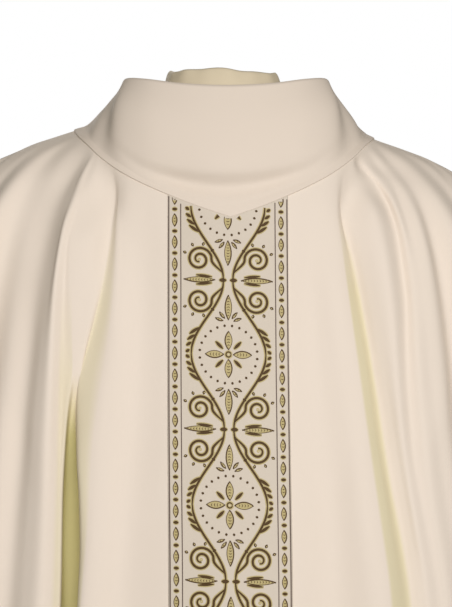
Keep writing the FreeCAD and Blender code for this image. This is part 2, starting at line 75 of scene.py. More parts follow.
# ---- fold lines: (seam position, [(z, x, y), ...]) from the centre to the shoulder ----
# The first point of each is the seam itself. x is positive towards the line's own side.
FRONT_LEFT = [
    ("panel hollow", 2.1, [(-180, 88, -141), (-260, 91, -149), (-380, 98, -160),
                           (-554, 110, -172), (-850, 118, -185), (-1188, 123, -196)]),
    ("panel swell", 2.8, [(-150, 110, -133), (-230, 113, -148), (-340, 120, -162),
                          (-430, 129, -169), (-554, 139, -178), (-850, 157, -194),
                          (-1186, 165, -206)]),
    ("panel edge", 3.15, [(-125, 117, -122), (-163, 119, -133), (-205, 120, -143),
                          (-245, 122, -150), (-290, 127, -155), (-350, 136, -162),
                          (-415, 144, -167), (-485, 147, -172), (-554, 153, -176),
                          (-850, 174, -192), (-1185, 184, -203)]),
    ("side of the panel", 3.3, [(-125, 119, -119), (-163, 123, -128), (-205, 129, -136),
                                (-245, 137, -142), (-290, 149, -144), (-320, 157, -146),
                                (-350, 160, -149), (-415, 160, -159), (-458, 157, -165),
                                (-512, 156, -167), (-554, 158, -169), (-850, 176, -183),
                                (-1185, 186, -194)]),
    ("facet, then the valley's near side", 3.5, [
        (-125, 122, -115), (-170, 128, -128), (-205, 134, -136), (-245, 142, -145),
        (-290, 152, -147), (-320, 158, -147), (-350, 162, -144), (-371, 164, -138),
        (-415, 163, -122), (-458, 161, -112), (-512, 160, -109), (-554, 160, -108),
        (-850, 178, -105), (-1185, 188, -105)]),
    ("facet, then the valley's far side", 3.75, [
        (-125, 134, -113), (-187, 150, -140), (-245, 155, -146), (-290, 160, -148),
        (-320, 163, -148), (-350, 167, -144), (-371, 170, -138), (-415, 175, -122),
        (-458, 178, -112), (-512, 180, -109), (-554, 180, -108), (-850, 198, -105),
        (-1185, 208, -105)]),
    ("valley rim", 4.1, [(-125, 152, -115), (-160, 163, -130), (-187, 170, -140),
                         (-245, 169, -146), (-290, 168, -148), (-320, 167, -148),
                         (-350, 171, -150), (-415, 176, -153), (-458, 178, -155),
                         (-554, 179, -157), (-850, 197, -162), (-1185, 207, -168)]),
    ("thin crease", 4.25, [(-110, 155, -107), (-130, 160, -118), (-150, 165, -126),
                           (-187, 174, -139),
                           (-245, 177, -144), (-306, 178, -147),
                           (-367, 179, -149), (-450, 181, -155), (-554, 183, -159),
                           (-850, 203, -165), (-1185, 213, -172)]),
    ("tube crest", 4.4, [(-108, 160, -105), (-136, 168, -121), (-170, 178, -137),
                         (-241, 187, -150), (-306, 190, -155), (-457, 196, -162),
                         (-554, 200, -165), (-850, 222, -169), (-1183, 233, -175)]),
    ("tube edge", 4.55, [(-111, 166, -98), (-136, 174, -113), (-166, 181, -127),
                         (-241, 194, -139), (-306, 201, -145), (-421, 210, -150),
                         (-554, 218, -153), (-850, 242, -156), (-1182, 254, -161)]),
    ("shoulder valley", 4.8, [(-111, 175, -87), (-140, 189, -97), (-180, 199, -107),
                              (-230, 208, -117), (-300, 215, -124), (-450, 228, -133),
                              (-554, 236, -137), (-850, 260, -134), (-1180, 272, -132)]),
    ("shoulder swell", 5.4, [(-85, 182, -70), (-110, 197, -79), (-145, 213, -89),
                             (-200, 226, -102), (-300, 240, -117), (-420, 253, -128),
                             (-554, 266, -134), (-850, 294, -132), (-1174, 305, -129)]),
    ("arm valley", 5.9, [(-80, 195, -54), (-115, 219, -74), (-170, 240, -88), (-250, 258, -95),
                         (-370, 275, -95), (-554, 298, -88), (-850, 322, -78),
                         (-1155, 332, -72)]),
    ("arm crest", 6.25, [(-78, 208, -48), (-115, 240, -74), (-170, 268, -94), (-250, 292, -108),
                         (-370, 312, -116), (-554, 338, -114), (-850, 366, -104),
                         (-1115, 374, -98)]),
    ("cuff valley", 6.55, [(-76, 220, -34), (-115, 256, -52), (-170, 286, -66),
                           (-250, 312, -74), (-370, 334, -74), (-554, 360, -66),
                           (-820, 382, -54), (-1050, 388, -46)]),
    ("cuff crest", 6.8, [(-74, 228, -24), (-110, 264, -42), (-160, 298, -58),
                         (-240, 330, -71), (-350, 356, -77), (-500, 380, -74),
                         (-720, 402, -64), (-930, 408, -56)]),
    ("side edge", 6.93, [(-71, 231, -11), (-98, 270, -22), (-140, 304, -32),
                         (-210, 342, -40), (-310, 374, -42), (-430, 396, -38),
                         (-560, 408, -31), (-730, 415, -24)]),
]
FRONT_RIGHT = [
    ("panel hollow", 2.1, [(-180, 88, -142), (-260, 93, -150), (-380, 104, -162),
                           (-554, 119, -174), (-850, 128, -187), (-1188, 132, -196)]),
    ("panel swell", 2.8, [(-150, 110, -134), (-230, 117, -150), (-340, 130, -163),
                          (-425, 141, -173), (-554, 157, -185), (-850, 170, -197),
                          (-1186, 175, -207)]),
    ("panel edge", 3.25, [(-135, 121, -126), (-182, 126, -137), (-244, 134, -148),
                          (-298, 141, -156), (-385, 152, -166), (-466, 163, -174),
                          (-552, 174, -182), (-850, 190, -194), (-1185, 197, -203)]),
    ("side of the panel", 3.4, [(-135, 124, -122), (-182, 131, -132), (-244, 140, -143),
                                (-298, 149, -150), (-385, 160, -160), (-466, 172, -168),
                                (-552, 184, -175), (-850, 201, -186), (-1185, 208, -195)]),
    ("foot of the side", 3.55, [(-135, 126, -118), (-196, 139, -128), (-262, 151, -137),
                                (-340, 163, -146), (-425, 175, -154), (-511, 191, -160),
                                (-554, 197, -164), (-850, 215, -176), (-1185, 223, -184)]),
    ("near swell", 3.7, [(-120, 134, -110), (-160, 143, -125), (-210, 153, -135),
                         (-260, 162, -142), (-340, 175, -150), (-425, 188, -157),
                         (-511, 203, -163), (-554, 208, -166), (-850, 225, -177),
                         (-1184, 232, -186)]),
    ("swell middle", 3.95, [(-105, 148, -99), (-140, 164, -122), (-210, 176, -141),
                            (-260, 181, -148), (-340, 186, -155), (-425, 196, -161),
                            (-554, 217, -167), (-850, 240, -169), (-1183, 248, -172)]),
    ("near crease", 4.2, [(-86, 147, -89), (-96, 159, -85), (-118, 174, -92),
                          (-138, 183, -102), (-159, 188, -111), (-199, 193, -122),
                          (-243, 197, -131), (-286, 197, -139), (-346, 199, -147),
                          (-410, 205, -154), (-554, 229, -161), (-850, 256, -160),
                          (-1181, 264, -157)]),
    ("far swell", 4.5, [(-84, 156, -84), (-100, 170, -86), (-118, 182, -97),
                        (-138, 190, -107), (-159, 196, -115), (-199, 202, -126),
                        (-243, 206, -135), (-286, 208, -143), (-346, 212, -150),
                        (-410, 218, -155), (-554, 240, -159), (-850, 269, -155),
                        (-1180, 278, -151)]),
    ("soft valley", 4.85, [(-85, 170, -73), (-107, 187, -85), (-138, 198, -102),
                           (-170, 206, -115), (-210, 213, -127), (-290, 220, -139),
                           (-385, 229, -146), (-470, 241, -148), (-554, 254, -149),
                           (-850, 284, -142), (-1178, 293, -138)]),
    ("outer swell", 5.25, [(-84, 180, -68), (-110, 198, -86), (-150, 214, -107),
                           (-200, 225, -121), (-290, 235, -132), (-385, 244, -138),
                           (-470, 255, -140), (-554, 269, -139), (-850, 300, -130),
                           (-1172, 309, -126)]),
    ("arm valley", 5.8, [(-82, 190, -58), (-115, 213, -79), (-170, 231, -96), (-250, 245, -106),
                         (-370, 260, -108), (-554, 288, -100), (-850, 320, -86),
                         (-1160, 330, -77)]),
    ("arm crest", 6.2, [(-78, 205, -50), (-115, 236, -76), (-170, 262, -96), (-250, 284, -110),
                        (-370, 303, -118), (-554, 330, -117), (-850, 362, -106),
                        (-1122, 370, -98)]),
    ("cuff valley", 6.55, [(-76, 219, -34), (-115, 254, -52), (-170, 284, -67),
                           (-250, 310, -75), (-370, 331, -76), (-554, 358, -68),
                           (-820, 381, -56), (-1052, 387, -47)]),
    ("cuff crest", 6.8, [(-74, 228, -24), (-110, 264, -42), (-160, 298, -58),
                         (-240, 330, -71), (-350, 356, -77), (-500, 380, -75),
                         (-720, 402, -65), (-932, 408, -56)]),
    ("side edge", 6.93, [(-71, 231, -11), (-98, 270, -22), (-140, 304, -32),
                         (-210, 342, -40), (-310, 374, -42), (-430, 396, -38),
                         (-560, 408, -31), (-730, 415, -24)]),
]
BACK_SIDE = [
    ("panel hollow", 2.3, [(-150, 92, 129), (-250, 98, 141), (-400, 106, 146),
                           (-600, 118, 150), (-850, 130, 156), (-1188, 138, 164)]),
    ("panel swell", 3.0, [(-140, 116, 121), (-220, 124, 139), (-330, 134, 152),
                          (-480, 150, 160), (-650, 168, 166), (-850, 184, 172),
                          (-1186, 196, 180)]),
    ("first valley", 3.6, [(-120, 130, 97), (-200, 142, 110), (-330, 157, 112),
                           (-480, 173, 106), (-650, 190, 98), (-850, 208, 92),
                           (-1184, 220, 90)]),
    ("second crest", 4.3, [(-110, 150, 84), (-180, 168, 108), (-280, 186, 126),
                           (-420, 206, 136), (-600, 228, 141), (-850, 256, 144),
                           (-1178, 268, 148)]),
    ("second valley", 5.0, [(-95, 172, 60), (-150, 194, 80), (-250, 217, 92),
                            (-400, 238, 92), (-600, 264, 84), (-850, 292, 76),
                            (-1168, 304, 72)]),
    ("third crest", 5.6, [(-85, 192, 44), (-130, 220, 72), (-220, 250, 98),
                          (-360, 276, 112), (-560, 306, 116), (-830, 338, 112),
                          (-1135, 350, 106)]),
    ("third valley", 6.2, [(-80, 208, 30), (-120, 242, 50), (-200, 276, 66),
                           (-340, 308, 74), (-540, 340, 70), (-800, 366, 60),
                           (-1070, 374, 54)]),
    ("cuff crest", 6.7, [(-76, 224, 20), (-112, 262, 36), (-180, 304, 54),
                         (-320, 346, 68), (-500, 376, 70), (-720, 400, 62),
                         (-950, 407, 54)]),
    ("side edge", 6.93, [(-71, 231, 9), (-98, 270, 19), (-150, 310, 28),
                         (-260, 358, 36), (-400, 388, 38), (-560, 407, 31),
                         (-735, 415, 24)]),
]
# Plumb lines of the flat centre panel: depth of the cloth at each height.
FRONT_CENTRE = [(-200, -154), (-300, -165), (-420, -179), (-554, -191), (-850, -206),
                (-1190, -216)]
BACK_CENTRE = [(-150, 134), (-250, 147), (-400, 154), (-600, 160), (-850, 168), (-1190, 176)]
CENTRE_DRIFT = [(-150, 2), (-350, 3), (-554, 5), (-850, 5.5), (-1190, 4)]
PLUMB = (0.0, 0.45 * BAND_HALF, 0.79 * BAND_HALF, BAND_HALF)

# ---- cowl collar: profiles from the seam up to the rolled edge, (seam position, points) ----
COWL_FRONT = [
    (0.0, [(0, -148, -135), (0, -142, -118), (0, -151, -100), (0, -143, -54), (0, -127, -5)]),
    (1.2, [(50, -142, -123), (50, -137, -111), (51, -144, -95), (51, -137, -48),
           (50, -120, -2)]),
    (2.2, [(89, -133, -107), (90, -131, -97), (91, -133, -83), (93, -123, -36),
           (89, -102, 5)]),
    (3.2, [(119, -117, -87), (121, -114, -75), (123, -110, -58), (122, -97, -24),
           (112, -74, 9)]),
    (4.1, [(139, -92, -72), (137, -86, -60), (134, -78, -44), (128, -62, -19),
           (119, -46, 6)]),
    (5.2, [(153, -66, -58), (150, -59, -48), (145, -50, -34), (134, -38, -15),
           (122, -24, 3)]),
    (7.0, [(163, 0, -41), (156, 0, -35), (147, 1, -25), (135, 3, -12), (123, 6, 2)]),
]
COWL_BACK = [
    (0.0, [(0, 121, -73), (0, 122, -55), (0, 121, -30), (0, 114, 2), (0, 100, 24)]),
    (1.6, [(58, 116, -66), (58, 116, -50), (57, 113, -27), (53, 106, 2), (48, 94, 22)]),
    (3.2, [(103, 95, -56), (101, 92, -42), (96, 88, -23), (88, 82, 0), (80, 73, 18)]),
    (4.8, [(139, 61, -50), (134, 59, -39), (126, 57, -23), (114, 52, -3), (103, 46, 11)]),
    (6.2, [(160, 23, -44), (153, 23, -36), (144, 23, -25), (131, 22, -9), (119, 22, 4)]),
    (7.0, [(163, 0, -41), (156, 0, -35), (147, 1, -25), (135, 3, -12), (123, 6, 2)]),
]

# ---------------------------------------------------------------- curves
def slopes(s, values):
    """Slopes for a curve through the values that never overshoots them."""
    d = np.diff(values) / np.diff(s)
    m = np.concatenate([[d[0]], np.zeros(len(s) - 2), [d[-1]]])
    h = np.diff(s)
    for i in range(1, len(s) - 1):
        if d[i - 1] * d[i] > 0:
            a, b = 2 * h[i] + h[i - 1], h[i] + 2 * h[i - 1]
            m[i] = (a + b) / (a / d[i - 1] + b / d[i])
    return m


def curve(s, values, at):
    """Values at places on a smooth curve through (s, values)."""
    s, values = np.array(s, float), np.array(values, float)
    m = slopes(s, values)
    at = np.clip(at, s[0], s[-1])
    i = np.clip(np.searchsorted(s, at, side="right") - 1, 0, len(s) - 2)
    h = s[i + 1] - s[i]
    t = (at - s[i]) / h
    return ((1 + 2 * t) * (1 - t) ** 2 * values[i] + t * (1 - t) ** 2 * h * m[i]
            + t * t * (3 - 2 * t) * values[i + 1] + t * t * (t - 1) * h * m[i + 1])


def through(points, us):
    """Points on the smooth lines through points[..., k, :], at each index in us."""
    points = np.asarray(points, float)
    last = points.shape[-2] - 1
    ends = [points[..., :1, :] * 2 - points[..., 1:2, :],
            points[..., -1:, :] * 2 - points[..., -2:-1, :]]
    padded = np.concatenate([ends[0], points, ends[1]], axis=-2)
    us = np.asarray(us, float)
    i = np.clip(us.astype(int), 0, last - 1)
    t = (us - i)[:, None]
    p0, p1, p2, p3 = [padded[..., i + k, :] for k in range(4)]

    def gap(a, b):
        return np.maximum(np.sqrt(np.linalg.norm(b - a, axis=-1, keepdims=True)), 0.5)
    g0, g1, g2 = gap(p0, p1), gap(p1, p2), gap(p2, p3)
    m1 = ((p1 - p0) / g0 - (p2 - p0) / (g0 + g1) + (p2 - p1) / g1) * g1
    m2 = ((p2 - p1) / g1 - (p3 - p1) / (g1 + g2) + (p3 - p2) / g2) * g1
    return (p1 * ((1 + 2 * t) * (1 - t) ** 2) + m1 * (t * (1 - t) ** 2)
            + p2 * (t * t * (3 - 2 * t)) + m2 * (t * t * (t - 1)))


def seam_point(seam, position, side):
    p = through(np.array(seam, float), [position])[0]
    centre, shoulder = SEAM_SHIFT
    x = side * p[0] + centre + (shoulder - centre) * position / SHOULDER
    level = 1 - (position / SHOULDER) ** 5      # the seam hangs level except near its ends
    return np.array([x, p[1], p[2] + LEAN * (x - centre) * level])


def seam_row(seam, signed):
    return np.array([seam_point(seam, abs(t), 1 if t >= 0 else -1) for t in signed])


# ---------------------------------------------------------------- the draped body
def fold_line(start, knots, side, vs):
    s = np.array([-start[2]] + [-z for z, x, y in knots])
    xs = [start[0]] + [side * x for z, x, y in knots]
    ys = [start[1]] + [y for z, x, y in knots]
    drop = s[0] + (s[-1] - s[0]) * vs ** 1.25
    return np.stack([curve(s, xs, drop), curve(s, ys, drop), -drop], axis=1)


def plumb_line(seam, centre, x, vs):
    side = 1 if x >= SEAM_SHIFT[0] else -1
    xs = [side * seam_point(seam, t, side)[0] for t in range(4)]
    position = float(curve(xs, [0.0, 1.0, 2.0, 3.0], side * x))
    start = seam_point(seam, position, side)
    zs, drift = [-z for z, d in CENTRE_DRIFT], [d for z, d in CENTRE_DRIFT]
    ease = 0.0012 * x * x * (-1 if centre[0][1] > 0 else 1)
    knots = [(z, x + float(curve(zs, drift, -z)), y + ease) for z, y in centre]
    start[0] = x + CENTRE_DRIFT[0][1]
    return fold_line(start, knots, 1, vs)


def half_panel(seam, folds, side, edge_y, vs):
    lines = [fold_line(seam_point(seam, t, side), knots, side, vs) for name, t, knots in folds]
    shoulder = seam_point(seam, SHOULDER, side)
    shoulder[1] = edge_y
    return lines + [fold_line(shoulder, [(z, x, edge_y) for z, x in SHOULDER_LINE], side, vs)]


def panel_lines(seam, centre, left, right, edge_y, vs):
    """The fold lines of a panel as an array: row, line, xyz. From its -X side to its +X."""
    plumbs = [-x for x in reversed(PLUMB[1:])] + list(PLUMB)
    middle = [plumb_line(seam, centre, x, vs) for x in plumbs]
    lines = (list(reversed(half_panel(seam, left, -1, edge_y, vs))) + middle
             + half_panel(seam, right, 1, edge_y, vs))
    return np.stack(lines, axis=1)


def soften(grid, along, across):
    """Rounds a grid off a little. Its outline stays where it is."""
    g = grid.copy()
    for k in range(along):
        g[1:-1] = (g[:-2] + 2 * g[1:-1] + g[2:]) / 4
    for k in range(across):
        g[:, 1:-1] = (g[:, :-2] + 2 * g[:, 1:-1] + g[:, 2:]) / 4
    return g


def normals(grid, towards):
    du = np.gradient(grid, axis=1)
    dv = np.gradient(grid, axis=0)
    n = np.cross(du, dv)
    n /= np.maximum(np.linalg.norm(n, axis=-1, keepdims=True), 1e-9)
    return n if (n @ np.array(towards, float)).sum() > 0 else -n


def lengths(grid):
    """How far each point is along its row and down its column, measured on the cloth."""
    across = np.linalg.norm(np.diff(grid, axis=1), axis=-1)
    down = np.linalg.norm(np.diff(grid, axis=0), axis=-1)
    u = np.concatenate([np.zeros((grid.shape[0], 1)), np.cumsum(across, axis=1)], axis=1)
    v = np.concatenate([np.zeros((1, grid.shape[1])), np.cumsum(down, axis=0)], axis=0)
    return u - u[:, -1:] / 2, v


# ---------------------------------------------------------------- meshes
def new_object(name, verts, faces, material, uvs=None, smooth=True):
    mesh = bpy.data.meshes.new(name)
    verts = np.asarray(verts, float) @ [[1, 0, -LEAN], [0, 1, 0], [0, 0, 1]]
    mesh.from_pydata(verts * MM, [], faces)
    mesh.update()
    if uvs is not None:
        layer = mesh.uv_layers.new(name="cloth")
        index = np.zeros(len(mesh.loops), dtype=np.int32)
        mesh.loops.foreach_get("vertex_index", index)
        layer.data.foreach_set("uv", (np.asarray(uvs)[index] * MM).ravel())
    if smooth:
        mesh.polygons.foreach_set("use_smooth", [True] * len(mesh.polygons))
    mesh.materials.append(material)
    obj = bpy.data.objects.new(name, mesh)
    bpy.context.scene.collection.objects.link(obj)
    return obj


def grid_faces(rows, cols, start, turned):
    i, j = np.meshgrid(np.arange(rows - 1), np.arange(cols - 1), indexing="ij")
    a = (start + i * cols + j).ravel()
    quad = [a, a + 1, a + 1 + cols, a + cols]
    return np.stack(quad if turned else quad[::-1], axis=1).tolist()


def cloth_piece(name, grid, towards, low, high, material, nodes=(), hollow=None):
    """A closed thin piece between two offsets of a grid, with a rim all round."""
    n = normals(grid, towards)
    rows, cols = grid.shape[:2]
    low, high = [np.broadcast_to(np.asarray(k, float), (rows, cols))[..., None]
                 for k in (low, high)]
    outer, inner = grid + n * high, grid + n * low
    count = rows * cols
    # turned tells which way round a face's corners go, so that it looks outwards
    du, dv = grid[0, 1] - grid[0, 0], grid[1, 0] - grid[0, 0]
    turned = bool(np.cross(du, dv) @ n[0, 0] > 0)
    faces = grid_faces(rows, cols, 0, turned) + grid_faces(rows, cols, count, not turned)
    rim = np.concatenate([np.arange(cols), np.arange(1, rows) * cols + cols - 1,
                          (rows - 1) * cols + np.arange(cols - 2, -1, -1),
                          np.arange(rows - 2, 0, -1) * cols])
    nxt = np.roll(rim, -1)
    quads = [rim, rim + count, nxt + count, nxt]
    faces += np.stack(quads if turned else quads[::-1], axis=1).tolist()
    flat = np.stack(lengths(grid), axis=-1).reshape(-1, 2)
    obj = new_object(name, np.concatenate([outer.reshape(-1, 3), inner.reshape(-1, 3)]), faces,
                     material, np.concatenate([flat, flat]))
    # the 'hollow' attribute carries painted fold shade to the cloth's material
    if hollow is not None:
        layer = obj.data.attributes.new("hollow", "FLOAT", "POINT")
        layer.data.foreach_set("value", np.tile(hollow.ravel(), 2))
    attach(obj, "root")
    if nodes:
        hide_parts(*nodes)
    return obj


# ---------------------------------------------------------------- materials
def nodes_of(name):
    material = bpy.data.materials.new(name)
    material.use_nodes = True
    tree = material.node_tree
    return material, tree, tree.nodes["Principled BSDF"]


def link(tree, a, b):
    tree.links.new(a, b)


def mix_colour(tree, factor, a, b, blend="MIX"):
    node = tree.nodes.new("ShaderNodeMix")
    node.data_type = "RGBA"
    node.blend_type = blend
    for socket, value in ((node.inputs[0], factor), (node.inputs[6], a), (node.inputs[7], b)):
        if isinstance(value, bpy.types.NodeSocket):
            link(tree, value, socket)
        else:
            socket.default_value = value
    return node.outputs[2]


def wave(tree, vector, period, axis, distortion=0.0):
    """Bands across an axis of the cloth, period in metres."""
    node = tree.nodes.new("ShaderNodeTexWave")
    node.wave_type = "BANDS"
    node.bands_direction = axis
    node.wave_profile = "SIN"
    node.inputs["Scale"].default_value = 2 * math.pi / 20 / period
    node.inputs["Distortion"].default_value = distortion
    node.inputs["Detail"].default_value = 1.0
    node.inputs["Detail Scale"].default_value = 1.0
    link(tree, vector, node.inputs["Vector"])
    return node.outputs["Fac"]


def noise(tree, vector, scale, detail=2.0, stretch=(1, 1, 1)):
    mapping = tree.nodes.new("ShaderNodeMapping")
    mapping.inputs["Scale"].default_value = stretch
    link(tree, vector, mapping.inputs["Vector"])
    node = tree.nodes.new("ShaderNodeTexNoise")
    node.inputs["Scale"].default_value = scale
    node.inputs["Detail"].default_value = detail
    link(tree, mapping.outputs["Vector"], node.inputs["Vector"])
    return node.outputs["Fac"]


def arithmetic(tree, operation, a, b):
    node = tree.nodes.new("ShaderNodeMath")
    node.operation = operation
    for socket, value in zip(node.inputs, (a, b)):
        if isinstance(value, bpy.types.NodeSocket):
            link(tree, value, socket)
        else:
            socket.default_value = value
    return node.outputs[0]


def woven(name, colour, shade, thread=0.0007, rough=0.85, sheen=0.04, bump=0.00006,
          slub=0.10, mottle=0.12):
    """Plain-woven cloth. colour and shade are linear; thread is the weave's period."""
    material, tree, bsdf = nodes_of(name)
    coords = tree.nodes.new("ShaderNodeTexCoord").outputs["UV"]
    warp, weft = wave(tree, coords, thread, "X", 1.5), wave(tree, coords, thread, "Y", 1.5)
    weave = arithmetic(tree, "MULTIPLY", warp, weft)
    slubs = noise(tree, coords, 900.0, 2.0, (1.0, 0.06, 1.0))
    soft = noise(tree, coords, 9.0, 3.0)
    base = mix_colour(tree, arithmetic(tree, "MULTIPLY", soft, mottle * 2), colour, shade)
    base = mix_colour(tree, arithmetic(tree, "MULTIPLY", slubs, slub), base, shade)
    base = mix_colour(tree, arithmetic(tree, "MULTIPLY", weave, 0.12), base, shade)
    # painted shade: where the 'hollow' attribute is set, the colour is darkened and yellowed,
    # standing in for the shadow and warm bounced light inside deep folds
    fold = tree.nodes.new("ShaderNodeAttribute")
    fold.attribute_name = "hollow"
    base = mix_colour(tree, fold.outputs["Fac"], base, (0.84, 0.87, 0.50, 1), "MULTIPLY")
    link(tree, base, bsdf.inputs["Base Color"])
    height = arithmetic(tree, "ADD", weave, arithmetic(tree, "MULTIPLY", slubs, 0.8))
    node = tree.nodes.new("ShaderNodeBump")
    node.inputs["Strength"].default_value = 0.5
    node.inputs["Distance"].default_value = bump
    link(tree, height, node.inputs["Height"])
    link(tree, node.outputs["Normal"], bsdf.inputs["Normal"])
    bsdf.inputs["Roughness"].default_value = rough
    bsdf.inputs["Specular IOR Level"].default_value = 0.25
    bsdf.inputs["Sheen Weight"].default_value = sheen
    bsdf.inputs["Sheen Roughness"].default_value = 0.5
    return material


def thread_material(name, colour, shade, rough=0.6, sheen=0.0, period=0.0009):
    """Floating embroidery or brocade threads, with fine ribs along the cloth."""
    material, tree, bsdf = nodes_of(name)
    coords = tree.nodes.new("ShaderNodeTexCoord").outputs["Object"]
    ribs = wave(tree, coords, period, "DIAGONAL", 1.0)
    uneven = noise(tree, coords, 420.0, 2.0)
    base = mix_colour(tree, arithmetic(tree, "MULTIPLY", ribs, 0.45), colour, shade)
    base = mix_colour(tree, arithmetic(tree, "MULTIPLY", uneven, 0.5), base, shade)
    link(tree, base, bsdf.inputs["Base Color"])
    node = tree.nodes.new("ShaderNodeBump")
    node.inputs["Strength"].default_value = 0.6
    node.inputs["Distance"].default_value = 0.0001
    link(tree, ribs, node.inputs["Height"])
    link(tree, node.outputs["Normal"], bsdf.inputs["Normal"])
    bsdf.inputs["Roughness"].default_value = rough
    bsdf.inputs["Specular IOR Level"].default_value = 0.2
    bsdf.inputs["Sheen Weight"].default_value = sheen
    return material


CLOTH_MAT = woven("ivory_suiting", (0.83, 0.74, 0.64, 1), (0.77, 0.68, 0.55, 1))
# painted shade: the collar and its facing are the same cloth as the panels, coloured a little darker
COLLAR_SHADED_MAT = woven("ivory_suiting_collar_shaded", (0.78, 0.69, 0.59, 1), (0.72, 0.63, 0.51, 1))
GROUND_MAT = woven("brocade_ground", (0.685, 0.613, 0.513, 1), (0.59, 0.52, 0.414, 1), thread=0.0009,
                   rough=0.6, sheen=0.04, bump=0.0001, slub=0.25)
LINING_MAT = woven("ivory_lining", (0.74, 0.65, 0.47, 1), (0.64, 0.55, 0.38, 1), rough=0.7)
STIFF_MAT = woven("interlining", (0.80, 0.79, 0.76, 1), (0.72, 0.71, 0.68, 1), slub=0.4)
TAPE_MAT = woven("twill_tape", (0.78, 0.72, 0.62, 1), (0.70, 0.63, 0.50, 1), thread=0.0012)
BROWN_MAT = thread_material("brown_thread", (0.062, 0.031, 0.007, 1), (0.11, 0.062, 0.018, 1))
GOLD_MAT = thread_material("pale_gold_thread", (0.58, 0.49, 0.23, 1), (0.38, 0.30, 0.12, 1),
                           rough=0.45, sheen=0.1)
LINE_MAT = thread_material("plum_brown_thread", (0.09, 0.06, 0.05, 1), (0.20, 0.15, 0.12, 1))

# ---------------------------------------------------------------- the panels
FRONT, BACK = (0, -1, 0), (0, 1, 0)
ROWS, PER_LINE = 220, 9


def wrinkles(grid, towards, seed, size):
    """Slight long waves, as in cloth that has been folded and worn."""
    rng = np.random.default_rng(seed)
    u, v = lengths(grid)
    height = np.zeros(u.shape)
    for k in range(14):
        across, down = rng.uniform(45, 150), rng.uniform(260, 900)
        phase = rng.uniform(0, 2 * math.pi, 2)
        height += np.sin(2 * math.pi * u / across + phase[0]
                         + 1.3 * np.sin(2 * math.pi * v / down + phase[1]))
    fade = np.clip(v / 90, 0, 1) * np.clip((v[-1:] - v) / 60, 0, 1)
    return grid + normals(grid, towards) * (height / math.sqrt(14) * size * fade)[..., None]


def panel_grid(seam, centre, left, right, edge_y, towards, seed):
    lines = panel_lines(seam, centre, left, right, edge_y, np.linspace(0, 1, ROWS))
    last = lines.shape[1] - 1
    grid = through(lines, np.linspace(0, last, last * PER_LINE + 1))
    grid = soften(grid, 6, 2)
    # the upper edge keeps to the seam, which comes to a point in the middle
    edge = seam_row(seam, np.linspace(-SHOULDER, SHOULDER, 561))
    off = np.stack([0 * grid[0, :, 0]] + [np.interp(grid[0, :, 0], edge[:, 0], edge[:, k])
                                          - grid[0, :, k] for k in (1, 2)], axis=-1)
    off *= (np.abs(grid[0, :, 0]) < 120)[:, None]
    u, v = lengths(grid)
    grid += off[None] * (np.clip(1 - v / 40, 0, 1) ** 2)[..., None]
    middle = len(left) + 1 + len(PLUMB) - 1
    return wrinkles(grid, towards, seed, 0.35), middle * PER_LINE


def hem_strip(grid, width):
    """The last width millimetres of a panel, down each column."""
    u, v = lengths(grid)
    strip = np.zeros((5, grid.shape[1], 3))
    for j in range(grid.shape[1]):
        at = np.linspace(v[-1, j] - width, v[-1, j], 5)
        for k in range(3):
            strip[:, j, k] = np.interp(at, v[:, j], grid[:, j, k])
    return strip


def paint_fold_shade(grid, line, folds):
    """Painted shade: how much the colour is darkened and yellowed in the folds that open beside the
    centre panel, standing in for their shadow and warm bounced light. line is the number of the fold
    line, counted from the middle."""
    z = grid[:, :, 2]
    out = np.zeros(z.shape)
    for lines, heights, amount in folds:
        across = np.interp(line, lines, (0, 1, 1, 0))
        down = np.clip((heights[0] - z) / (heights[0] - heights[1]), 0, 1)
        down = down * np.clip((z - FOLD_SHADE_FOOT) / FOLD_SHADE_FADE, 0, 1)
        out = np.maximum(out, across * down * amount)
    return out


FOLD_SHADE_FOOT, FOLD_SHADE_FADE = -860, 240    # the painted fold shade fades out over this height below the hips
# painted fold shade: between which fold lines, fading in between which heights, how strongly
PAINTED_FOLD_SHADE = (((-7.6, -7.0, -6.4, -6.0), (-130, -250), 0.36),
              ((-10.0, -9.8, -8.2, -7.9), (-325, -395), 1.0),
              ((-11.4, -11.1, -10.0, -9.8), (-230, -330), 0.3),
              ((6.0, 6.3, 7.9, 8.3), (-140, -230), 0.5))

panels = {}
for name, args in (("front", (FRONT_SEAM, FRONT_CENTRE, FRONT_LEFT, FRONT_RIGHT, -SEAM_GAP,
                              FRONT, 3)),
                   ("back", (BACK_SEAM, BACK_CENTRE, BACK_SIDE, BACK_SIDE, SEAM_GAP, BACK, 8))):
    grid, middle = panel_grid(*args)
    towards = args[5]
    # painted shade in the deep folds of the front; the back gets none
    folds = PAINTED_FOLD_SHADE if name == "front" else ()
    hollow = paint_fold_shade(grid, (np.arange(grid.shape[1]) - middle) / PER_LINE, folds)
    panel = cloth_piece(name + "_cloth", grid, towards, -CLOTH / 2, CLOTH / 2, CLOTH_MAT,
                        (name + "_panel",), hollow)
    inside = -CLOTH / 2 - LAYER_GAP
    hem = cloth_piece(name + "_hem", hem_strip(grid, HEM_WIDTH), towards, inside - FACING, inside,
                      CLOTH_MAT, (name + "_hem_facing",))
    side = (len(PLUMB) - 1) * PER_LINE
    band_grid = grid[:, middle - side:middle + side + 1]
    outside = CLOTH / 2 + LAYER_GAP
    band = cloth_piece(name + "_band", band_grid, towards, outside, outside + ORPHREY_THICK * 0.6,
                       GROUND_MAT, (name + "_orphrey",))
    panels[name] = {"band": band_grid, "towards": towards, "panel": panel, "hem": hem,
                    "orphrey": band}

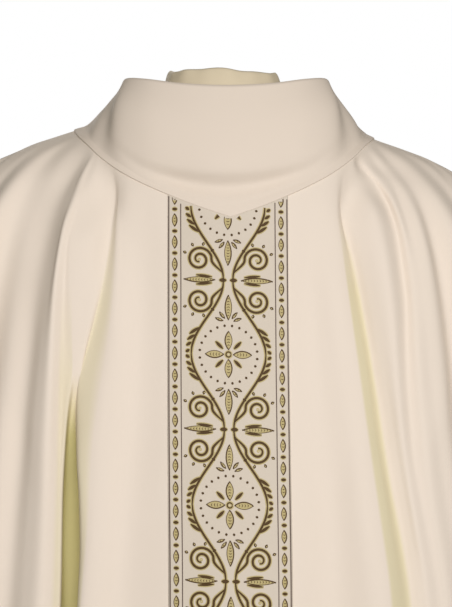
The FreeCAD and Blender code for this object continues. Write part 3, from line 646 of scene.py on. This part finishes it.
# ---------------------------------------------------------------- the cowl collar
def cowl_rows(seam, profiles, vs, edge_y, per_line=12):
    """The cowl's surface from its seam, v = 0, to its rolled edge, v = 5."""
    signed = [-t for t, points in reversed(profiles[1:])] + [t for t, points in profiles]
    lines = np.array([[(x if t > 0 else -x, y, z) for x, y, z in points]
                      for t, points in ([(-t, p) for t, p in reversed(profiles[1:])]
                                        + [(t, p) for t, p in profiles])], float)
    last = len(lines) - 1
    us = np.linspace(0, last, last * per_line + 1)
    start = seam_row(seam, np.interp(us, range(last + 1), signed))
    start[[0, -1], 1] = edge_y
    lines[[0, -1], :, 1] = edge_y
    lines[..., 2] += LEAN * lines[..., 0] * (1 - (np.abs(signed) / SHOULDER) ** 5)[:, None]
    profile = through(np.swapaxes(lines, 0, 1), us)            # point, column, xyz
    profile = np.concatenate([start[None], profile])
    return np.swapaxes(through(np.swapaxes(profile, 0, 1), vs), 0, 1)


def cowl_pieces(name, seam, profiles, towards, edge_y):
    vs = np.concatenate([np.linspace(-0.05, 0.2, 8)[:-1], np.linspace(0.2, 5, 64)])
    rows = cowl_rows(seam, profiles, vs, edge_y)
    round_off = soften(rows, 3, 3)
    hold = np.clip((vs - 0.1) / 0.6, 0, 1)[:, None, None]      # the seam edge keeps its point
    rows = rows * (1 - hold) + round_off * hold
    share = np.clip(vs / 5, 0, 1)[:, None]
    gap = COWL_GAP * np.sin(np.pi * share) ** 0.8
    # the lower edge rolls over the top of the panel and its band
    lift = EDGE_LIFT * np.interp(vs, [-0.05, -0.02, 0.03, 0.12, 0.3, 0.8],
                                 [0.25, 0.7, 0.95, 1, 0.8, 0])[:, None]
    middle = -CLOTH / 2 - LAYER_GAP
    inside = middle - FACING - LAYER_GAP
    node = "collar_" + name
    outer = cloth_piece(node + "_cloth", rows, towards, lift - CLOTH / 2, lift + CLOTH / 2,
                        COLLAR_SHADED_MAT, (node,))
    stiff = cloth_piece(node + "_stiffener", rows[6:-1], towards,
                        middle - FACING - 0.3 * gap[6:-1], middle - 0.3 * gap[6:-1],
                        STIFF_MAT, (node + "_interlining",))
    facing = cloth_piece(node + "_lining", rows[4:], towards, inside - CLOTH - gap[4:],
                         inside - gap[4:], COLLAR_SHADED_MAT, (node + "_facing",))
    return {"outer": outer, "stiff": stiff, "facing": facing}


cowls = {"front": cowl_pieces("front", FRONT_SEAM, COWL_FRONT, FRONT, -SEAM_GAP),
         "back": cowl_pieces("back", BACK_SEAM, COWL_BACK, BACK, SEAM_GAP)}


# ---------------------------------------------------------------- neckband and yoke
def ring_point(angle, radius, z):
    return np.stack([NECK_X + radius * np.sin(angle), -radius * np.cos(angle),
                     np.broadcast_to(z, np.shape(angle))], axis=-1)


def neckband():
    angles = np.linspace(-math.pi + 0.01, math.pi - 0.01, 240)
    rows = []
    for share in np.linspace(0, 1, 24):
        radius = NECKBAND_TOP_R + (NECKBAND_BASE_R - NECKBAND_TOP_R) * share ** 0.6
        z = NECKBAND_TOP_Z + (NECKBAND_BASE_Z - NECKBAND_TOP_Z) * share
        # the upper edge waves a little, as soft cloth does round a neck
        wave_z = (1.2 * np.sin(4 * angles + 2.2) + 0.6 * np.sin(9 * angles + 2.0)) * (1 - share)
        wave_r = (0.8 * np.sin(7 * angles + 1.0) + 0.5 * np.sin(15 * angles)) * (1 - share) ** 2
        dip = -3.0 * np.cos(angles) * (1 - share)
        rows.append(ring_point(angles, radius + wave_r, z + wave_z + dip))
    return cloth_piece("neckband_cloth", np.array(rows), FRONT, -CLOTH / 2, CLOTH / 2, LINING_MAT,
                       ("neckband",))


def yoke(name, seam, facing_back, edge_y):
    columns = []
    for t in np.linspace(-SHOULDER, SHOULDER, 113):
        edge = seam_point(seam, abs(t), 1 if t >= 0 else -1)
        edge = edge * [YOKE_INSET, YOKE_INSET, 1] - [0, 0, 4]
        angle = t / SHOULDER * math.pi / 2
        top = ring_point(math.pi - angle if facing_back else angle, NECKBAND_BASE_R + 3,
                         NECKBAND_BASE_Z - 2)
        if abs(t) == SHOULDER:
            top[1] = edge[1] = edge_y
        share = np.linspace(0, 1, 32)[:, None]
        columns.append(top * (1 - share) + edge * share
                       - [0, 0, YOKE_SAG] * np.sin(np.pi * share))
    grid = np.swapaxes(np.array(columns), 0, 1)
    return cloth_piece(name + "_yoke_cloth", grid, (0, 0, 1), -FACING / 2, FACING / 2, LINING_MAT,
                       (name + "_yoke",))


neck = neckband()
yokes = {"front": yoke("front", FRONT_SEAM, False, -SEAM_GAP),
         "back": yoke("back", BACK_SEAM, True, SEAM_GAP)}


def shoulder_tape(name, side):
    start = seam_point(FRONT_SEAM, SHOULDER, side) * [1, 0, 1]
    vs = np.linspace(0.02, 0.98, 80)
    knots = [(z, x, 0) for z, x in SHOULDER_LINE]
    line = fold_line(start, knots, side, vs)
    along = fold_line(start, knots, side, vs + 0.01) - fold_line(start, knots, side, vs - 0.01)
    inward = np.stack([along[:, 2], 0 * vs, -along[:, 0]], axis=1) * side
    inward /= np.linalg.norm(inward, axis=1, keepdims=True)
    rows = [line + [0, y, 0] + inward * (CLOTH + FACING + 0.05 * y * y)
            for y in np.linspace(-TAPE_HALF, TAPE_HALF, 7)]
    return cloth_piece(name + "_tape", np.array(rows), (side, 0, 0), -FACING / 2, FACING / 2,
                       TAPE_MAT, (name + "_shoulder_tape",))


tapes = [shoulder_tape("left", 1), shoulder_tape("right", -1)]


# ---------------------------------------------------------------- the band's woven figure
# A plain running figure worked out from a few sizes, in millimetres: x out from the centre
# line, y down from a cross. Two wave stems make a row of pointed fields with a cross in a
# ring of beads in each, and scrolls and leaves fill the sides. It mirrors across both ways.
HALF_REPEAT = 80.0      # from a cross to the knot where the stems come together
CROSS_Z = -300.0        # height of the first cross
FIELD_HALF = 51.0       # inner border line
EDGE_HALF = 64.0        # outer border line
BORDER_X = (FIELD_HALF + EDGE_HALF) / 2
BORDER_STEP = 24.0
STEM_FAR, STEM_NEAR = 40.0, 5.0     # the stem beside a cross, and at a knot
CROSS_IN, CROSS_OUT = 5.0, 25.0     # the cross's arms
BEAD_RING, BEADS_IN_QUARTER = 31.0, 6
SCROLL = (31.0, 58.0)
SCROLL_RADIUS = 14.0


def spiral(x, y, r0, r1, turns, start, hand=1):
    """Points of a volute round (x, y), from radius r0 in to r1; start is in degrees."""
    n = max(int(12 * turns), 5)
    made = []
    for k in range(n + 1):
        a = math.radians(start) + hand * 2 * math.pi * turns * k / n
        r = r0 + (r1 - r0) * k / n
        made.append((x + r * math.cos(a), y + r * math.sin(a)))
    return made


def stem(y):
    """The wave stem's point at height y."""
    middle, swing = (STEM_FAR + STEM_NEAR) / 2, (STEM_FAR - STEM_NEAR) / 2
    return (middle + swing * math.cos(math.pi * y / HALF_REPEAT), y)


def ray(x, y, degrees, near, far):
    """Three points straight out from (x, y), from near to far."""
    a = math.radians(degrees)
    return [(x + r * math.cos(a), y + r * math.sin(a)) for r in (near, (near + far) / 2, far)]


def quarter_figure():
    """(kind, colour, width, points): a line is even and a leaf swells in the middle; b is
    brown with a gold edge, B brown alone, g gold alone, v a gold leaf with brown veins."""
    strokes = [("line", "b", 2.2, [stem(HALF_REPEAT * k / 10) for k in range(11)])]
    # leaves on the outer side of the stem, longer where there is more room
    for y, length in ((6, 8), (14, 10), (22, 13), (30, 16)):
        strokes.append(("leaf", "b", 3.0, ray(*stem(y), -35, 2.5, length)))
    # the scroll, with leaves round it
    strokes.append(("line", "b", 2.4,
                    [stem(72)] + spiral(*SCROLL, SCROLL_RADIUS, 2.5, 1.8, 170)))
    strokes.append(("line", "g", 1.6, spiral(*SCROLL, 1.4, 1.2, 1.0, 0)))
    for degrees in (215, 255, 295, 335):
        strokes.append(("leaf", "v", 3.2, ray(*SCROLL, degrees, SCROLL_RADIUS + 1.5,
                                              SCROLL_RADIUS + 5)))
    # fans above and below each field, and beside each knot
    for degrees in (20, 50):
        strokes.append(("leaf", "v", 3.6, ray(0, 34, degrees, 6, 15)))
    strokes.append(("leaf", "b", 2.6, ray(15, HALF_REPEAT - 3, -6, 2, 20)))
    # beads round the cross, and a small leaf between its arms
    for k in range(BEADS_IN_QUARTER):
        degrees = 90 * (k + 0.5) / BEADS_IN_QUARTER
        strokes.append(("leaf", "B", 2.4, ray(0, 0, degrees, BEAD_RING - 1.6, BEAD_RING + 1.6)))
    strokes.append(("leaf", "b", 3.0, ray(0, 0, 45, 8, 20)))
    return strokes


QUARTER = quarter_figure()
# on the centre line, mirrored up and down only
MIDDLE = [("leaf", "v", 8.0, ray(0, 0, 90, 37, 64))]
# level with a knot, mirrored left and right only
ACROSS = [("leaf", "b", 4.0, ray(0, HALF_REPEAT, 0, 1.5, 10)),
          ("leaf", "v", 6.5, ray(0, HALF_REPEAT, 0, 14, 48))]
CROSS = [("leaf", "v", 8.5, ray(0, 0, degrees, CROSS_IN, CROSS_OUT))
         for degrees in (0, 90, 180, 270)] + [("line", "b", 1.4, spiral(0, 0, 2.8, 2.8, 1.0, 0))]
# the border's row of lozenges and beads, x from the border's middle
BORDER = [("leaf", "v", 6.0, [(0, -7), (0, 0), (0, 7)]),
          ("leaf", "b", 3.0, [(-3, BORDER_STEP / 2), (0, BORDER_STEP / 2), (3, BORDER_STEP / 2)])]
BAND_TOP, BAND_FOOT = -86.0, -1192.0
BAND_REACH = 66.0
END_ROW = 30            # a row of the table well inside either end
GROUND_TOP = CLOTH / 2 + LAYER_GAP + ORPHREY_THICK * 0.6
HEIGHTS = {"gold": 0.2, "brown": 0.36, "line": 0.3}


class Band:
    """The band's surface as a table of depth over (height, distance from its middle)."""

    def __init__(self, grid, towards):
        self.zs = np.arange(BAND_TOP, BAND_FOOT, -2.0)
        self.offsets = np.arange(-BAND_REACH, BAND_REACH + 0.5, 1.0)
        middle = grid.shape[1] // 2
        down = grid[:, :, 2]
        xs = np.stack([np.interp(-self.zs, -down[:, j], grid[:, j, 0])
                       for j in range(grid.shape[1])], axis=1)
        ys = np.stack([np.interp(-self.zs, -down[:, j], grid[:, j, 1])
                       for j in range(grid.shape[1])], axis=1)
        self.centre = xs[:, middle]
        self.depth = np.stack([np.interp(self.offsets, xs[k] - self.centre[k], ys[k])
                               for k in range(len(self.zs))])
        self.top = np.interp(self.offsets, xs[END_ROW] - self.centre[END_ROW], down[0])
        self.bottom = np.interp(self.offsets, xs[-END_ROW] - self.centre[-END_ROW], down[-1])
        self.out = towards[1]

    def inside(self, s, z):
        return ((z < np.interp(s, self.offsets, self.top) - 1.2)
                & (z > np.interp(s, self.offsets, self.bottom) + 1.2))

    def depth_at(self, s, z):
        k = np.clip((self.zs[0] - z) / 2.0, 0, len(self.zs) - 1.001)
        m = np.clip(s - self.offsets[0], 0, len(self.offsets) - 1.001)
        ki, mi = k.astype(int), m.astype(int)
        a, b = k - ki, m - mi
        t = self.depth
        return ((t[ki, mi] * (1 - b) + t[ki, mi + 1] * b) * (1 - a)
                + (t[ki + 1, mi] * (1 - b) + t[ki + 1, mi + 1] * b) * a)

    def place(self, s, z, height):
        """The point height above the cloth's middle, s from the band's centre line."""
        y = self.depth_at(s, z)
        slope_s = self.depth_at(s + 1, z) - self.depth_at(s - 1, z)
        slope_z = self.depth_at(s, z + 2) - self.depth_at(s, z - 2)
        n = np.stack([-slope_s / 2, np.ones_like(y), -slope_z / 4], axis=-1) * self.out
        n /= np.linalg.norm(n, axis=-1, keepdims=True)
        x = np.interp(-z, -self.zs, self.centre) + s
        return np.stack([x, y, z], axis=-1) + n * np.asarray(height)[..., None]


def widths(kind, width, share):
    if kind == "leaf":
        return width * np.maximum(np.sin(np.pi * share), 0.0) ** 0.75 + 0.12
    return width * (0.55 + 0.45 * np.clip(np.sin(np.pi * share) * 2.5, 0, 1))


class Threads:
    """Ribbons of one colour on a band, gathered into one mesh."""

    def __init__(self, band, colour):
        self.band, self.height = band, HEIGHTS[colour]
        self.verts, self.faces = [], []

    def ribbon(self, line, wide):
        """line is n points (s, z) and wide their widths; a closed strip stands on the band."""
        along = np.gradient(line, axis=0)
        along /= np.maximum(np.linalg.norm(along, axis=1, keepdims=True), 1e-9)
        across = np.stack([-along[:, 1], along[:, 0]], axis=1) * wide[:, None] / 2
        left, right = line + across, line - across
        keep = (self.band.inside(left[:, 0], left[:, 1])
                & self.band.inside(right[:, 0], right[:, 1]))
        start = 0
        while start < len(keep):
            if not keep[start]:
                start += 1
                continue
            end = start
            while end < len(keep) and keep[end]:
                end += 1
            if end - start > 1:
                self.strip(left[start:end], right[start:end])
            start = end

    def strip(self, left, right):
        n = len(left)
        base, top = GROUND_TOP - 0.06, GROUND_TOP + self.height
        first = sum(len(v) for v in self.verts)
        rings = [self.band.place(p[:, 0], p[:, 1], np.full(n, h))
                 for p, h in ((left, base), (left, top), (right, top), (right, base))]
        self.verts.append(np.stack(rings, axis=1).reshape(-1, 3))
        flip = self.band.out > 0
        for k in range(n - 1):
            for c in range(4):
                a, b = first + 4 * k + c, first + 4 * k + (c + 1) % 4
                quad = (a, b, b + 4, a + 4)
                self.faces.append(quad[::-1] if flip else quad)
        ends = [(first, first + 3, first + 2, first + 1),
                tuple(first + 4 * (n - 1) + c for c in range(4))]
        self.faces += [e[::-1] for e in ends] if flip else ends

    def finish(self, name, material):
        obj = new_object(name, np.concatenate(self.verts), self.faces, material, smooth=False)
        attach(obj, "root")
        return obj


def sampled(points, step=1.5):
    pts = np.array(points, float)
    size = np.linalg.norm(np.diff(pts, axis=0), axis=1).sum()
    n = max(int(size / step), 5)
    fine = through(pts, np.linspace(0, len(pts) - 1, 8 * len(pts)))
    far = np.concatenate([[0], np.cumsum(np.linalg.norm(np.diff(fine, axis=0), axis=1))])
    at = np.linspace(0, far[-1], n + 1)
    return np.stack([np.interp(at, far, fine[:, k]) for k in (0, 1)], axis=1)


def weave_figure(name, band):
    brown, gold, line = [Threads(band, c) for c in ("brown", "gold", "line")]

    def draw(stroke, place):
        kind, colour, width, points = stroke
        path = place(sampled(points))
        share = np.linspace(0, 1, len(path))
        wide = widths(kind, width, share)
        if colour in ("b", "B"):
            brown.ribbon(path, wide * 1.08)
        if colour == "b":
            gold.ribbon(path, wide + 2.4)
        if colour == "g":
            gold.ribbon(path, wide)
        if colour == "v":
            gold.ribbon(path, wide)
            along = np.gradient(path, axis=0)
            along /= np.linalg.norm(along, axis=1, keepdims=True)
            side = np.stack([-along[:, 1], along[:, 0]], axis=1)
            for hand, thick in ((1, 1.3), (-1, 0.7)):
                brown.ribbon(path + side * (hand * (wide[:, None] - thick) / 2),
                             np.full(len(path), thick))
            ends = path[2:-2]
            for k in range(1, len(ends) - 1, 2):
                reach = side[k + 2] * wide[k + 2] * 0.2
                brown.ribbon(np.array([ends[k] - reach, ends[k] + along[k + 2] * 0.8,
                                       ends[k] + reach]), np.array([0.5, 0.8, 0.5]))

    def cell(k, mirror):
        """Puts a quarter's (x, y) in half-repeat k, on the right or the left."""
        def place(p):
            y = p[:, 1] if k % 2 == 0 else HALF_REPEAT - p[:, 1]
            return np.stack([mirror * p[:, 0], CROSS_Z - (k * HALF_REPEAT + y)], axis=1)
        return place

    for k in range(-2, 12):
        for mirror in (1, -1):
            for stroke in QUARTER:
                draw(stroke, cell(k, mirror))
            if k % 2 == 0:
                for stroke in ACROSS:
                    draw(stroke, cell(k, mirror))
        for stroke in MIDDLE:
            draw(stroke, cell(k, 1))
        if k % 2 == 0:
            for stroke in CROSS:
                draw(stroke, lambda p: np.stack(
                    [p[:, 0], CROSS_Z - k * HALF_REPEAT - p[:, 1]], axis=1))
    for k in range(-9, 38):
        for side in (1, -1):
            for stroke in BORDER:
                draw(stroke, lambda p: np.stack(
                    [side * (BORDER_X + p[:, 0]), CROSS_Z - k * BORDER_STEP - p[:, 1]],
                    axis=1))
    zs = np.arange(BAND_TOP - 4.0, BAND_FOOT, -4.0)
    for s, wide in ((FIELD_HALF, 1.1), (EDGE_HALF, 1.3)):
        for side in (1, -1):
            line.ribbon(np.stack([np.full(len(zs), side * s), zs], axis=1),
                        np.full(len(zs), wide))
    return [brown.finish(name + "_figure_brown", BROWN_MAT),
            gold.finish(name + "_figure_gold", GOLD_MAT),
            line.finish(name + "_border_lines", LINE_MAT)]


for name, p in panels.items():
    p["figure"] = weave_figure(name + "_band", Band(p["band"], p["towards"]))

# ---------------------------------------------------------------- stage, light, camera
def plain_material(name, colour, rough):
    material, tree, bsdf = nodes_of(name)
    bsdf.inputs["Base Color"].default_value = colour
    bsdf.inputs["Roughness"].default_value = rough
    return material


pale = plain_material("pale_floor", (0.86, 0.86, 0.86, 1), 0.9)
bright = pale.node_tree.nodes.new("ShaderNodeLightPath")
shader = pale.node_tree.nodes["Principled BSDF"]
shader.inputs["Emission Color"].default_value = (0.4, 0.4, 0.39, 1)
link(pale.node_tree, bright.outputs["Is Camera Ray"], shader.inputs["Emission Strength"])
floor = new_object("floor", [(-9000, -9000, -1500), (9000, -9000, -1500), (9000, 9000, -1500),
                             (-9000, 9000, -1500)], [(0, 1, 2, 3)], pale, smooth=False)

world = bpy.data.worlds.new("studio")
bpy.context.scene.world = world
world.use_nodes = True
tree = world.node_tree
tree.nodes.clear()
seen, felt = tree.nodes.new("ShaderNodeBackground"), tree.nodes.new("ShaderNodeBackground")
seen.inputs["Color"].default_value = (1, 1, 1, 1)
felt.inputs["Color"].default_value = (1.0, 0.965, 0.83, 1)
felt.inputs["Strength"].default_value = 0.17
path, mix = tree.nodes.new("ShaderNodeLightPath"), tree.nodes.new("ShaderNodeMixShader")
out = tree.nodes.new("ShaderNodeOutputWorld")
link(tree, path.outputs["Is Camera Ray"], mix.inputs[0])
link(tree, felt.outputs[0], mix.inputs[1])
link(tree, seen.outputs[0], mix.inputs[2])
link(tree, mix.outputs[0], out.inputs["Surface"])


def area_light(name, place, aim, size, power, colour=(1, 1, 1)):
    data = bpy.data.lights.new(name, "AREA")
    data.shape = "RECTANGLE"
    data.size, data.size_y = size
    data.energy = power
    data.color = colour
    data.spread = math.radians(75)
    obj = bpy.data.objects.new(name, data)
    bpy.context.scene.collection.objects.link(obj)
    obj.location = place
    obj.rotation_euler = (Vector(aim) - Vector(place)).to_track_quat("-Z", "Y").to_euler()
    return obj


area_light("key", (0.4, -3.1, 0.4), (0, 0, -0.4), (1.9, 1.7), 17.7, (1.0, 0.965, 0.97))
area_light("behind", (-0.5, 3.1, 0.5), (0, 0, -0.4), (1.9, 1.7), 16.0, (1.0, 0.965, 0.97))

camera = bpy.data.cameras.new("camera")
camera.sensor_width = 36.0
camera.lens = 101.1
view = bpy.data.objects.new("camera", camera)
bpy.context.scene.collection.objects.link(view)
view.location = (0.0, -2.0, -0.245)
view.rotation_euler = (math.radians(90), 0, 0)
bpy.context.scene.camera = view
bpy.context.scene.view_settings.view_transform = "Standard"
